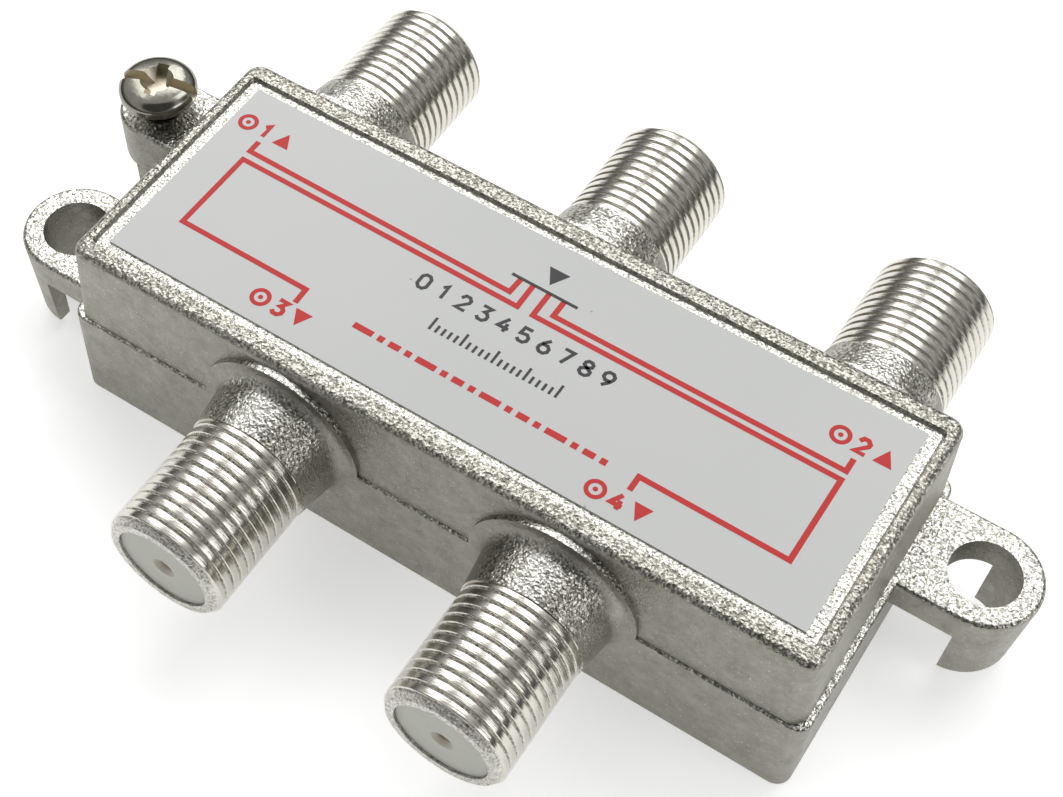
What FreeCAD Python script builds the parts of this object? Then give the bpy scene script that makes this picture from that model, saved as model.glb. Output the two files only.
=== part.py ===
import FreeCAD, Part

import math
import os

# Four-way coaxial splitter: a die-cast housing with five threaded ports, in millimetres.
# The origin is the centre of the underside. +X runs along the housing, +Y points to the side
# with three ports and +Z up to the label. Left is -X, rear is +Y.

Vector = FreeCAD.Vector
ORIGIN = Vector(0, 0, 0)
AXIS_X = Vector(1, 0, 0)
AXIS_Y = Vector(0, 1, 0)
AXIS_Z = Vector(0, 0, 1)
CUT_EXTRA = 0.2
ON_PLANE = 0.01

# Lower body of the housing
BASE_LENGTH = 61.6
BASE_WIDTH = 23.6
BASE_LEAN = 0.15
BASE_CORNER_R = 1.2
LEDGE_Z = 8.54

# Upper body, set in from the lower one by a narrow ledge
LEDGE_AT_ENDS = 0.5
LEDGE_AT_SIDES = 0.25
LEDGE_EDGE_R = 0.2
HOUSING_HEIGHT = 16.1
UPPER_LEAN_ENDS = 0.45
UPPER_LEAN_SIDES = 0.3
UPPER_CORNER_R = 1.2
RIM_EDGE_R = 0.6

# Shallow tray for the label, with a steep wall
RIM_AT_ENDS = 0.9
RIM_AT_SIDES = 1.5
TRAY_DEPTH = 0.32
TRAY_SLOPE = 0.18
TRAY_CORNER_R = 0.35
LABEL_MARGIN_ENDS = 0.87
LABEL_MARGIN_SIDES = 0.57
LABEL_THICKNESS = 0.15

# Hollow inside and the plate that closes it
ROOF_THICKNESS = 1.6
WALL_AT_ENDS = 1.75
WALL_AT_SIDES = 1.6
CAVITY_LEAN = 0.2
CAVITY_CORNER_R = 1.0
PLATE_THICKNESS = 0.5
PLATE_INSET = 0.3
PLATE_RIM = 1.2
PLATE_CORNER_R = 1.0
PLATE_GAP = 0.05
NIB_R = 0.9

# Ports
PORT_FROM_END = 8.2
PORT_Z = 8.9
PORT_LENGTH = 13.5
PAD_R = 6.65
NECK_ROOT_R = 5.2
NECK_FILLET_R = 1.1
NECK_END_R = 4.85
NECK_LENGTH = 3.75
THREAD_R = 4.7625
MOUTH_R = 4.3
MOUTH_CHAMFER = 0.55
MOUTH_BORE_R = 3.65
MOUTH_BORE_DEPTH = 6.95
INNER_BORE_R = 3.0

# How far the ears and the tab run into the wall
ROOT_IN_WALL = 1.0

# Screw ears, each a plate with a half-round leg under its outer half
EAR_FROM_WALL = 4.7
EAR_Y_RIGHT = 6.0
EAR_Y_LEFT = -5.2
EAR_R = 4.2
EAR_FOOT_R = 3.9
EAR_HOLE_R = 2.6
EAR_PLATE = 2.6
EAR_EDGE_R = 0.35
EAR_FOOT_Z = 0.95
EAR_FOOT_EDGE_R = 0.3
EAR_LEG_START = 0.15
EAR_LEG_DRAFT = 0.15

# Earthing tab and its screw
TAB_FROM_WALL = 4.8
TAB_Y = 6.0
TAB_R = 3.25
TAB_TOP_Z = 12.1
TAB_THICKNESS = 4.1
TAB_EDGE_R = 0.35
TAB_WEB_REACH = 0.55
SHANK_R = 1.7
SHANK_GAP = 0.05
SHANK_LENGTH = 6.15
SHANK_TIP_CHAMFER = 0.35
SCREW_BACKED_OFF = 1.65
HEAD_R = 3.03
HEAD_SIDE = 0.55
HEAD_ROUND_R = 0.8
SLOT_WIDTH = 0.9
SLOT_DEPTH = 1.1
SLOT_ANGLE = 17.0
CROSS_REACH = 1.65
RECESS_R = 1.3
RECESS_TIP_R = 0.6

# Insulator in each mouth
FIT_GAP = 0.04
INSULATOR_SETBACK = 0.2
INSULATOR_FRONT = 1.15
INSULATOR_HOLLOW_R = 1.9
INSULATOR_DIMPLE_R = 0.9
INSULATOR_DIMPLE_DEPTH = 0.3
INSULATOR_HOLE_R = 0.55

# Bushing through each wall
BUSHING_SETBACK = 3.2
BUSHING_FLANGE_R = 3.6
BUSHING_FLANGE = 0.6

# Contact strip
STRIP_THICKNESS = 0.25
STRIP_WIDTH = 1.4
CONTACT_HALF_BASE = 1.8
CONTACT_PINCH_GAP = 0.3
CONTACT_TIP_GAP = 0.45
CONTACT_TIP_SPREAD = 0.38
CONTACT_TIP_RUN = 1.0
TAIL_WIDTH = 0.8
TAIL_THICKNESS = 0.5
TAIL_ON_BOARD = 2.1

# Circuit board and its posts
BOARD_Z = 9.2
BOARD_THICKNESS = 1.2
BOARD_MARGIN = 0.8
BOARD_CORNER_R = 0.8
POST_FROM_BOARD_END = 1.6
POST_FROM_BOARD_SIDE = 3.4
POST_R = 1.4
PIN_R = 0.6
PIN_GAP = 0.1
PIN_STAND_OUT = 0.3

# Two-hole ferrite cores and their windings
CORE_WIDTH = 3.6
CORE_HEIGHT = 2.1
CORE_LENGTH = 2.8
CORE_HOLE_R = 0.42
CORE_HOLE_PITCH = 1.45
CORE_WALL_R = 0.5
WIRE_R = 0.08
WIRE_STEP = 0.16
WIRE_OVERHANG = 0.1
LEAD_BEND_R = 0.7
INPUT_MATCH_Y = 2.6
MAIN_HYBRID_Y = -3.0
SIDE_HYBRID_OFFSET = 1.6
SIDE_HYBRID_Y = 1.2
SIDE_MATCH_OFFSET = 3.4
SIDE_MATCH_Y = -0.6

# Chokes of the power path
ROD_R = 0.6
ROD_LENGTH = 4.0
COIL_GAP = 0.03
COIL_WIRE_R = 0.13
COIL_TURNS = 7
CHOKE_FROM_BOARD_SIDE = 4.6

# Chip parts
CAPACITOR_LENGTH = 1.6
CAPACITOR_WIDTH = 0.8
CAPACITOR_HEIGHT = 0.8
CAPACITOR_OFFSET = 1.8
CAPACITOR_FROM_BOARD_SIDE = 2.1
RESISTOR_LENGTH = 1.6
RESISTOR_WIDTH = 0.8
RESISTOR_HEIGHT = 0.45
RESISTOR_OFFSET = 3.2
END_CAP_LENGTH = 0.3
END_CAP_PROUD = 0.03
DIODE_LENGTH = 2.7
DIODE_WIDTH = 1.6
DIODE_HEIGHT = 1.1
DIODE_OFFSET = 5.05
DIODE_FROM_BOARD_SIDE = 3.4
DIODE_LEAD = 0.45
DIODE_LEAD_WIDTH = 0.6
DIODE_LEAD_THICKNESS = 0.15

# Solder
FILLET_HEIGHT = 0.4
FILLET_WIDTH = 0.35
FILLET_LENGTH = 1.6
RING_WIDTH = 0.5
RING_HEIGHT = 0.25

# Worked-out levels and half sizes
base_half_x = BASE_LENGTH / 2
base_half_y = BASE_WIDTH / 2
ledge_half_x = base_half_x - BASE_LEAN
ledge_half_y = base_half_y - BASE_LEAN
upper_half_x = ledge_half_x - LEDGE_AT_ENDS
upper_half_y = ledge_half_y - LEDGE_AT_SIDES
top_half_x = upper_half_x - UPPER_LEAN_ENDS
top_half_y = upper_half_y - UPPER_LEAN_SIDES
tray_floor_z = HOUSING_HEIGHT - TRAY_DEPTH
tray_half_x = top_half_x - RIM_AT_ENDS
tray_half_y = top_half_y - RIM_AT_SIDES
floor_half_x = tray_half_x - TRAY_SLOPE
floor_half_y = tray_half_y - TRAY_SLOPE
roof_z = tray_floor_z - ROOF_THICKNESS
cavity_half_x = upper_half_x - WALL_AT_ENDS
cavity_half_y = upper_half_y - WALL_AT_SIDES
plate_top_z = PLATE_INSET + PLATE_THICKNESS
rebate_half_x = base_half_x - PLATE_RIM
rebate_half_y = base_half_y - PLATE_RIM
port_pitch = base_half_x - PORT_FROM_END
pad_face_y = ledge_half_y
neck_end_y = pad_face_y + NECK_LENGTH
mouth_y = pad_face_y + PORT_LENGTH
shoulder_y = mouth_y - MOUTH_BORE_DEPTH
insulator_front_y = mouth_y - INSULATOR_SETBACK
insulator_hollow_end_y = insulator_front_y - INSULATOR_FRONT
bushing_nose_y = shoulder_y - BUSHING_SETBACK
ear_x = ledge_half_x + EAR_FROM_WALL
ear_underside_z = LEDGE_Z - EAR_PLATE
tab_x = ledge_half_x + TAB_FROM_WALL
tab_underside_z = TAB_TOP_Z - TAB_THICKNESS
tab_hole_r = SHANK_R + SHANK_GAP
board_top_z = BOARD_Z + BOARD_THICKNESS
board_half_x = cavity_half_x - BOARD_MARGIN
board_half_y = cavity_half_y - BOARD_MARGIN
post_x = board_half_x - POST_FROM_BOARD_END
post_y = board_half_y - POST_FROM_BOARD_SIDE

# Ports: name, x, side (+1 rear, -1 front)
PORTS = [
    ("rear_left", -port_pitch, 1),
    ("rear_middle", 0.0, 1),
    ("rear_right", port_pitch, 1),
    ("front_left", -port_pitch / 2, -1),
    ("front_right", port_pitch / 2, -1),
]
OUTPUTS = [port for port in PORTS if port[0] != "rear_middle"]

# Cores on the board: name, x, y
hybrid_x = port_pitch / 2 + SIDE_HYBRID_OFFSET
match_x = port_pitch - SIDE_MATCH_OFFSET
CORES = [
    ("input_match", 0.0, INPUT_MATCH_Y),
    ("main_hybrid", 0.0, MAIN_HYBRID_Y),
    ("left_hybrid", -hybrid_x, SIDE_HYBRID_Y),
    ("right_hybrid", hybrid_x, SIDE_HYBRID_Y),
    ("left_match", -match_x, SIDE_MATCH_Y),
    ("right_match", match_x, SIDE_MATCH_Y),
]
HYBRIDS = CORES[1:4]


def box(x0, y0, z0, x1, y1, z1):
    return Part.makeBox(x1 - x0, y1 - y0, z1 - z0, Vector(x0, y0, z0))


def rod(radius, start, axis, length):
    return Part.makeCylinder(radius, length, start, axis)


def rounded_rectangle(half_x, half_y, radius, z):
    """Wire of a rectangle with round corners at height z."""
    inner_x = half_x - radius
    inner_y = half_y - radius
    diagonal = radius * math.sqrt(0.5)
    edges = []
    for turn in range(4):
        along = inner_x if turn % 2 == 0 else inner_y
        out = half_y if turn % 2 == 0 else half_x
        side = Part.LineSegment(Vector(-along, -out, z), Vector(along, -out, z)).toShape()
        corner = Part.Arc(
            Vector(along, -out, z),
            Vector(along + diagonal, -out + radius - diagonal, z),
            Vector(along + radius, -out + radius, z),
        ).toShape()
        for edge in (side, corner):
            edge.rotate(ORIGIN, AXIS_Z, 90 * turn)
            edges.append(edge)
    return Part.Wire(edges)


def tapered_block(low, high):
    """Solid between two round-cornered rectangles, each (half x, half y, corner radius, z)."""
    return Part.makeLoft([rounded_rectangle(*low), rounded_rectangle(*high)], True, True)


def flat_block(half_x, half_y, radius, z0, z1):
    return Part.Face(rounded_rectangle(half_x, half_y, radius, z0)).extrude(Vector(0, 0, z1 - z0))


def turned(edges, axis):
    """Solid of revolution of a closed outline about an axis through the origin."""
    face = Part.Face(Part.Wire(Part.__sortEdges__(edges)))
    return face.revolve(ORIGIN, axis, 360)


def outline(points):
    """Straight edges through the points and back to the first."""
    closed = points + points[:1]
    return [Part.LineSegment(a, b).toShape() for a, b in zip(closed, closed[1:])]


def rounded_top(shape, z, radius, root_x):
    """Shape with its edges at height z rounded, apart from the one at its root."""
    edges = []
    for edge in shape.Edges:
        if edge.BoundBox.ZMin > z - ON_PLANE and edge.BoundBox.XMax > root_x + ON_PLANE:
            edges.append(edge)
    return shape.makeFillet(radius, edges)


def at_port(shape, port):
    """Copy of a piece built on an axis along +Y at the origin, set on a port's axis."""
    _, x, side = port
    placed = shape.copy()
    if side < 0:
        placed.rotate(ORIGIN, AXIS_Z, 180)
    placed.translate(Vector(x, 0, PORT_Z))
    return placed


def at_end(shape, x, y):
    """Copy of a piece built to stick out along +X, set at x, y on the right or left end."""
    placed = shape.copy()
    if x < 0:
        placed.rotate(ORIGIN, AXIS_Z, 180)
    placed.translate(Vector(x, y, 0))
    return placed


def on_board(shape, x, y, quarter_turns=0):
    """Copy of a piece built under z = 0, set under the board at x, y."""
    placed = shape.copy()
    placed.rotate(ORIGIN, AXIS_Z, 90 * quarter_turns)
    placed.translate(Vector(x, y, BOARD_Z))
    return placed


def save(name, shape):
    shape.exportStep(os.path.join("parts", name + ".step"))
    print(name, round(shape.Volume, 3), "valid" if shape.isValid() else "NOT VALID")


# Housing

def housing_body():
    lower = tapered_block(
        (base_half_x, base_half_y, BASE_CORNER_R, 0),
        (ledge_half_x, ledge_half_y, BASE_CORNER_R, LEDGE_Z),
    )
    upper = tapered_block(
        (upper_half_x, upper_half_y, UPPER_CORNER_R, LEDGE_Z),
        (top_half_x, top_half_y, UPPER_CORNER_R, HOUSING_HEIGHT),
    )
    step_r = min(LEDGE_EDGE_R, 0.8 * LEDGE_AT_SIDES)
    lower = rounded_top(lower, LEDGE_Z, step_r, -BASE_LENGTH)
    upper = rounded_top(upper, HOUSING_HEIGHT, RIM_EDGE_R, -BASE_LENGTH)
    return lower.fuse(upper)


def port_barrel():
    """Outside of one port, turned: flare at the pad, neck, threaded length, mouth."""
    root = Vector(0, cavity_half_y, 0)
    flare_r = NECK_ROOT_R + NECK_FILLET_R
    fillet_y = pad_face_y + NECK_FILLET_R
    bulge = NECK_FILLET_R * (1 - math.sqrt(0.5))
    corners = [
        Vector(NECK_ROOT_R, fillet_y, 0),
        Vector(NECK_END_R, neck_end_y, 0),
        Vector(THREAD_R, neck_end_y, 0),
        Vector(THREAD_R, mouth_y - MOUTH_CHAMFER, 0),
        Vector(MOUTH_R, mouth_y, 0),
        Vector(0, mouth_y, 0),
        root,
        Vector(flare_r, cavity_half_y, 0),
        Vector(flare_r, pad_face_y, 0),
    ]
    edges = [Part.LineSegment(a, b).toShape() for a, b in zip(corners, corners[1:])]
    middle = Vector(NECK_ROOT_R + bulge, pad_face_y + bulge, 0)
    edges.append(Part.Arc(corners[-1], middle, corners[0]).toShape())
    barrel = turned(edges, AXIS_Y)
    pad = rod(PAD_R, root, AXIS_Y, pad_face_y - cavity_half_y)
    return barrel.fuse(pad)


def port_bore():
    mouth = rod(MOUTH_BORE_R, Vector(0, shoulder_y, 0), AXIS_Y, MOUTH_BORE_DEPTH + CUT_EXTRA)
    start_y = cavity_half_y - CAVITY_LEAN
    inner = rod(INNER_BORE_R, Vector(0, start_y, 0), AXIS_Y, shoulder_y - start_y + CUT_EXTRA)
    return mouth.fuse(inner)


def tongue(radius, reach_in, z):
    """Wire of a tongue: round end about the origin, straight sides running in along -X."""
    top_in = Vector(-reach_in, radius, z)
    top = Vector(0, radius, z)
    tip = Vector(radius, 0, z)
    bottom = Vector(0, -radius, z)
    bottom_in = Vector(-reach_in, -radius, z)
    return Part.Wire([
        Part.LineSegment(top_in, top).toShape(),
        Part.Arc(top, tip, bottom).toShape(),
        Part.LineSegment(bottom, bottom_in).toShape(),
        Part.LineSegment(bottom_in, top_in).toShape(),
    ])


def ear():
    """One screw ear about its hole's axis, sticking out along +X."""
    reach_in = EAR_FROM_WALL + ROOT_IN_WALL
    plate_share = (LEDGE_Z - ear_underside_z) / (LEDGE_Z - EAR_FOOT_Z)
    underside_r = EAR_R - (EAR_R - EAR_FOOT_R) * plate_share
    plate = Part.makeLoft(
        [tongue(underside_r, reach_in, ear_underside_z), tongue(EAR_R, reach_in, LEDGE_Z)],
        True, True,
    )
    post = Part.makeCone(EAR_FOOT_R, EAR_R, LEDGE_Z - EAR_FOOT_Z, Vector(0, 0, EAR_FOOT_Z))
    foot_edges = [edge for edge in post.Edges if edge.BoundBox.ZMax < EAR_FOOT_Z + ON_PLANE]
    post = post.makeFillet(EAR_FOOT_EDGE_R, foot_edges)
    inner_half = box(-EAR_R, -EAR_R, 0, EAR_LEG_START, EAR_R, HOUSING_HEIGHT)
    solid = plate.fuse(post.cut(inner_half)).removeSplitter()
    return rounded_top(solid, LEDGE_Z, EAR_EDGE_R, -reach_in)


def ear_hole():
    """Straight through the ear's plate, then widening down its leg with the mould's draft."""
    straight = rod(EAR_HOLE_R, Vector(0, 0, ear_underside_z), AXIS_Z, HOUSING_HEIGHT)
    draft = Part.makeCone(EAR_HOLE_R + EAR_LEG_DRAFT, EAR_HOLE_R, ear_underside_z)
    return straight.fuse(draft)


def earthing_tab():
    """Tab for the earthing screw about its hole's axis, with a web under its inner part."""
    reach_in = TAB_FROM_WALL + ROOT_IN_WALL
    outline_face = Part.Face(tongue(TAB_R, reach_in, tab_underside_z))
    plate = outline_face.extrude(Vector(0, 0, TAB_THICKNESS))
    plate = rounded_top(plate, TAB_TOP_Z, TAB_EDGE_R, -reach_in)
    web = box(-reach_in, -TAB_R, ear_underside_z, TAB_WEB_REACH, TAB_R, tab_underside_z)
    return plate.fuse(web)


def tab_hole():
    return rod(tab_hole_r, ORIGIN, AXIS_Z, HOUSING_HEIGHT)


def tray():
    """Space above the tray's floor, its wall sloping outwards."""
    extra = TRAY_SLOPE * CUT_EXTRA / TRAY_DEPTH
    return tapered_block(
        (floor_half_x, floor_half_y, TRAY_CORNER_R, tray_floor_z),
        (tray_half_x + extra, tray_half_y + extra, TRAY_CORNER_R, HOUSING_HEIGHT + CUT_EXTRA),
    )


def cavity():
    """Hollow inside the housing, with the rebate for the back plate."""
    hollow = tapered_block(
        (cavity_half_x + CAVITY_LEAN, cavity_half_y + CAVITY_LEAN, CAVITY_CORNER_R, 0),
        (cavity_half_x, cavity_half_y, CAVITY_CORNER_R, roof_z),
    )
    rebate = flat_block(rebate_half_x, rebate_half_y, PLATE_CORNER_R, -CUT_EXTRA, plate_top_z)
    return hollow.fuse(rebate)


def board_posts():
    """Four cast posts from the roof, each ending in a pin through the board."""
    posts = []
    for x in (-post_x, post_x):
        for y in (-post_y, post_y):
            foot = Vector(x, y, board_top_z)
            posts.append(rod(POST_R, foot, AXIS_Z, roof_z + CUT_EXTRA - board_top_z))
            pin_end = Vector(x, y, BOARD_Z - PIN_STAND_OUT)
            pin_length = BOARD_THICKNESS + PIN_STAND_OUT + CUT_EXTRA
            posts.append(rod(PIN_R, pin_end, AXIS_Z, pin_length))
    return posts


def nibs():
    """Nibs of the rebate's wall, peened over the back plate's edge."""
    centres = []
    for side in (-1, 1):
        centres.append(Vector(side * rebate_half_x, 0, 0))
        for x in (-port_pitch, 0, port_pitch):
            centres.append(Vector(x, side * rebate_half_y, 0))
    return [rod(NIB_R, centre, AXIS_Z, PLATE_INSET) for centre in centres]


def housing():
    solid = housing_body()
    barrel = port_barrel()
    outside = [at_port(barrel, port) for port in PORTS]
    outside.append(at_end(ear(), ear_x, EAR_Y_RIGHT))
    outside.append(at_end(ear(), -ear_x, EAR_Y_LEFT))
    outside.append(at_end(earthing_tab(), -tab_x, TAB_Y))
    solid = solid.fuse(outside)
    bore = port_bore()
    inside = [at_port(bore, port) for port in PORTS]
    inside.append(at_end(ear_hole(), ear_x, EAR_Y_RIGHT))
    inside.append(at_end(ear_hole(), -ear_x, EAR_Y_LEFT))
    inside.append(at_end(tab_hole(), -tab_x, TAB_Y))
    inside.append(tray())
    inside.append(cavity())
    solid = solid.cut(inside)
    return solid.fuse(board_posts() + nibs()).removeSplitter()


def back_plate():
    half_x = rebate_half_x - PLATE_GAP
    half_y = rebate_half_y - PLATE_GAP
    return flat_block(half_x, half_y, PLATE_CORNER_R, PLATE_INSET, plate_top_z)


def label():
    half_x = floor_half_x - LABEL_MARGIN_ENDS
    half_y = floor_half_y - LABEL_MARGIN_SIDES
    top_z = tray_floor_z + LABEL_THICKNESS
    return box(-half_x, -half_y, tray_floor_z, half_x, half_y, top_z)


def ground_screw():
    """Pan-head machine screw with a slot and a cross recess, backed off from its tab."""
    under_z = TAB_TOP_Z + SCREW_BACKED_OFF
    shoulder_z = under_z + HEAD_SIDE
    top_z = shoulder_z + HEAD_ROUND_R
    tip_z = under_z - SHANK_LENGTH
    flat_r = HEAD_R - HEAD_ROUND_R
    corners = [
        Vector(flat_r, 0, top_z),
        Vector(0, 0, top_z),
        Vector(0, 0, tip_z),
        Vector(SHANK_R - SHANK_TIP_CHAMFER, 0, tip_z),
        Vector(SHANK_R, 0, tip_z + SHANK_TIP_CHAMFER),
        Vector(SHANK_R, 0, under_z),
        Vector(HEAD_R, 0, under_z),
        Vector(HEAD_R, 0, shoulder_z),
    ]
    edges = [Part.LineSegment(a, b).toShape() for a, b in zip(corners, corners[1:])]
    diagonal = HEAD_ROUND_R * math.sqrt(0.5)
    middle = Vector(flat_r + diagonal, 0, shoulder_z + diagonal)
    edges.append(Part.Arc(corners[-1], middle, corners[0]).toShape())
    screw = turned(edges, AXIS_Z)
    half = SLOT_WIDTH / 2
    slot = box(-HEAD_R, -half, top_z - SLOT_DEPTH, HEAD_R, half, top_z + CUT_EXTRA)
    cross = box(-half, -CROSS_REACH, top_z - SLOT_DEPTH, half, CROSS_REACH, top_z + CUT_EXTRA)
    bowl = Part.makeCone(RECESS_TIP_R, RECESS_R, SLOT_DEPTH, Vector(0, 0, top_z - SLOT_DEPTH))
    recess = slot.fuse([cross, bowl])
    recess.rotate(ORIGIN, AXIS_Z, SLOT_ANGLE)
    screw = screw.cut(recess)
    screw.translate(Vector(-tab_x, TAB_Y, 0))
    return screw


# Pieces of each port, built on an axis along +Y

def insulator():
    outer_r = MOUTH_BORE_R - FIT_GAP
    points = [
        Vector(outer_r, shoulder_y, 0),
        Vector(outer_r, insulator_front_y, 0),
        Vector(INSULATOR_DIMPLE_R, insulator_front_y, 0),
        Vector(INSULATOR_HOLE_R, insulator_front_y - INSULATOR_DIMPLE_DEPTH, 0),
        Vector(INSULATOR_HOLE_R, insulator_hollow_end_y, 0),
        Vector(INSULATOR_HOLLOW_R, insulator_hollow_end_y, 0),
        Vector(INSULATOR_HOLLOW_R, shoulder_y, 0),
    ]
    return turned(outline(points), AXIS_Y)


def bushing():
    flange_y = cavity_half_y - BUSHING_FLANGE
    plug = rod(INNER_BORE_R - FIT_GAP, Vector(0, flange_y, 0), AXIS_Y, bushing_nose_y - flange_y)
    flange = rod(BUSHING_FLANGE_R, Vector(0, flange_y, 0), AXIS_Y, BUSHING_FLANGE)
    half = TAIL_WIDTH / 2 + FIT_GAP
    tail_top = BOARD_Z - PORT_Z
    slot = box(
        -half, 0, tail_top - TAIL_THICKNESS - FIT_GAP,
        half, mouth_y, tail_top + FIT_GAP,
    )
    return plug.fuse(flange).cut(slot)


def strip(points, thickness):
    """Face of a thin strip of even thickness along a bent line, with mitred bends."""
    half = thickness / 2
    directions = []
    for a, b in zip(points, points[1:]):
        directions.append((b - a).normalize())
    offsets = []
    for index in range(len(points)):
        before = directions[max(index - 1, 0)]
        after = directions[min(index, len(directions) - 1)]
        normal = Vector(-before.y - after.y, before.x + after.x, 0).normalize()
        reach = half / (normal.x * -after.y + normal.y * after.x)
        offsets.append(normal * reach)
    one_side = [p + o for p, o in zip(points, offsets)]
    other_side = [p - o for p, o in zip(points, offsets)]
    return Part.Face(Part.Wire(outline(one_side + other_side[::-1])))


def contact():
    """Folded spring strip: a base, two arms that pinch the cable's wire, and a tail."""
    base_y = bushing_nose_y + STRIP_THICKNESS / 2
    base_x = CONTACT_HALF_BASE - STRIP_THICKNESS / 2
    pinch_x = (CONTACT_PINCH_GAP + STRIP_THICKNESS) / 2
    tip_y = insulator_hollow_end_y - CONTACT_TIP_GAP
    right = [
        Vector(base_x, base_y, 0),
        Vector(pinch_x, tip_y - CONTACT_TIP_RUN, 0),
        Vector(pinch_x + CONTACT_TIP_SPREAD, tip_y, 0),
    ]
    left = [Vector(-p.x, p.y, 0) for p in right]
    band = strip(left[::-1] + right, STRIP_THICKNESS)
    band.translate(Vector(0, 0, -STRIP_WIDTH / 2))
    arms = band.extrude(Vector(0, 0, STRIP_WIDTH))
    half = TAIL_WIDTH / 2
    tail_top = BOARD_Z - PORT_Z
    tail_end_y = board_half_y - TAIL_ON_BOARD
    tail = box(-half, tail_end_y, tail_top - TAIL_THICKNESS, half, base_y, tail_top)
    return arms.fuse(tail).removeSplitter()


# Circuit board and what it carries, built under z = 0

def circuit_board():
    board = flat_block(board_half_x, board_half_y, BOARD_CORNER_R, BOARD_Z, board_top_z)
    holes = []
    for x in (-post_x, post_x):
        for y in (-post_y, post_y):
            start = Vector(x, y, BOARD_Z - CUT_EXTRA)
            holes.append(rod(PIN_R + PIN_GAP, start, AXIS_Z, BOARD_THICKNESS + 2 * CUT_EXTRA))
    return board.cut(holes)


def ferrite_core():
    """Two-hole core lying on the board, its holes along Y."""
    half_x = CORE_WIDTH / 2
    half_y = CORE_LENGTH / 2
    block = box(-half_x, -half_y, -CORE_HEIGHT, half_x, half_y, 0)
    long_edges = [e for e in block.Edges if e.BoundBox.YLength > CORE_LENGTH / 2]
    block = block.makeFillet(CORE_WALL_R, long_edges)
    holes = []
    for x in (-CORE_HOLE_PITCH / 2, CORE_HOLE_PITCH / 2):
        start = Vector(x, -half_y - CUT_EXTRA, -CORE_HEIGHT / 2)
        holes.append(rod(CORE_HOLE_R, start, AXIS_Y, CORE_LENGTH + 2 * CUT_EXTRA))
    return block.cut(holes)


def winding():
    """One wire, twice through both holes of a core, with its two ends on the board."""
    hole_x = CORE_HOLE_PITCH / 2
    end_y = CORE_LENGTH / 2 + WIRE_OVERHANG
    middle_z = -CORE_HEIGHT / 2
    levels = [middle_z + WIRE_STEP * n for n in (1.5, 0.5, -0.5, -1.5)]
    bend = LEAD_BEND_R
    cut = bend * (1 - math.sqrt(0.5))
    edges = []

    def line(a, b):
        edges.append(Part.LineSegment(a, b).toShape())

    def arc(a, b, c):
        edges.append(Part.Arc(a, b, c).toShape())

    start = Vector(hole_x, end_y + bend, 0)
    foot = Vector(hole_x, end_y + bend, levels[0] + bend)
    last = Vector(hole_x, end_y, levels[0])
    line(start, foot)
    arc(foot, Vector(hole_x, end_y + bend - cut, levels[0] + cut), last)
    side = 1
    for number, level in enumerate(levels):
        across_y = -end_y * side
        far = Vector(hole_x * side, across_y, level)
        line(last, far)
        last = far
        if number < len(levels) - 1:
            below = Vector(-hole_x * side, across_y, levels[number + 1])
            turn_r = (below - far).Length / 2
            middle = (below + far) * 0.5 + Vector(0, -side * turn_r, 0)
            arc(far, middle, below)
            last = below
            side = -side
    low = levels[-1]
    foot = Vector(-hole_x, end_y + bend, low + bend)
    arc(last, Vector(-hole_x, end_y + bend - cut, low + cut), foot)
    line(foot, Vector(-hole_x, end_y + bend, 0))
    path = Part.Wire(edges)
    section = Part.Wire([Part.makeCircle(WIRE_R, start, AXIS_Z)])
    return path.makePipeShell([section], True, False)


def choke_rod():
    coil_r = ROD_R + COIL_GAP + 2 * COIL_WIRE_R
    return rod(ROD_R, Vector(-ROD_LENGTH / 2, 0, -coil_r), AXIS_X, ROD_LENGTH)


def choke_coil():
    """Close-wound coil on a rod along X, with its two ends on the board."""
    inner_r = ROD_R + COIL_GAP
    middle_r = inner_r + COIL_WIRE_R
    pitch = 2 * COIL_WIRE_R
    half = COIL_TURNS * pitch / 2
    edges = []
    for turn in range(COIL_TURNS):
        x = -half + turn * pitch
        edges.append(Part.Arc(
            Vector(x, middle_r, 0),
            Vector(x + COIL_WIRE_R, middle_r + COIL_WIRE_R, 0),
            Vector(x + pitch, middle_r, 0),
        ).toShape())
    inside = [
        Vector(half, middle_r, 0),
        Vector(half, inner_r, 0),
        Vector(-half, inner_r, 0),
        Vector(-half, middle_r, 0),
    ]
    edges += [Part.LineSegment(a, b).toShape() for a, b in zip(inside, inside[1:])]
    coil = turned(edges, AXIS_X)
    coil_r = middle_r + COIL_WIRE_R
    leads = []
    for x, side in ((-half + COIL_WIRE_R, 1), (half - COIL_WIRE_R, -1)):
        leads.append(rod(COIL_WIRE_R, Vector(x, side * middle_r, 0), AXIS_Z, coil_r))
    coil = coil.fuse(leads)
    coil.translate(Vector(0, 0, -coil_r))
    return coil


def chip(length, width, height):
    """Ceramic chip along X with slightly proud end caps."""
    body = box(-length / 2, -width / 2, -height, length / 2, width / 2, 0)
    shapes = []
    half = width / 2 + END_CAP_PROUD
    for side in (-1, 1):
        outer = side * length / 2
        inner = outer - side * END_CAP_LENGTH
        low, high = sorted((outer, inner))
        shapes.append(box(low, -half, -height - END_CAP_PROUD, high, half, 0))
    return body.fuse(shapes).removeSplitter()


def diode():
    """Moulded body along X with a flat lead at each end."""
    half = DIODE_WIDTH / 2
    body = box(-DIODE_LENGTH / 2, -half, -DIODE_HEIGHT, DIODE_LENGTH / 2, half, 0)
    reach = DIODE_LENGTH / 2 + DIODE_LEAD
    half = DIODE_LEAD_WIDTH / 2
    lead = box(-reach, -half, -DIODE_LEAD_THICKNESS, reach, half, 0)
    return body.fuse(lead).removeSplitter()


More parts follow.
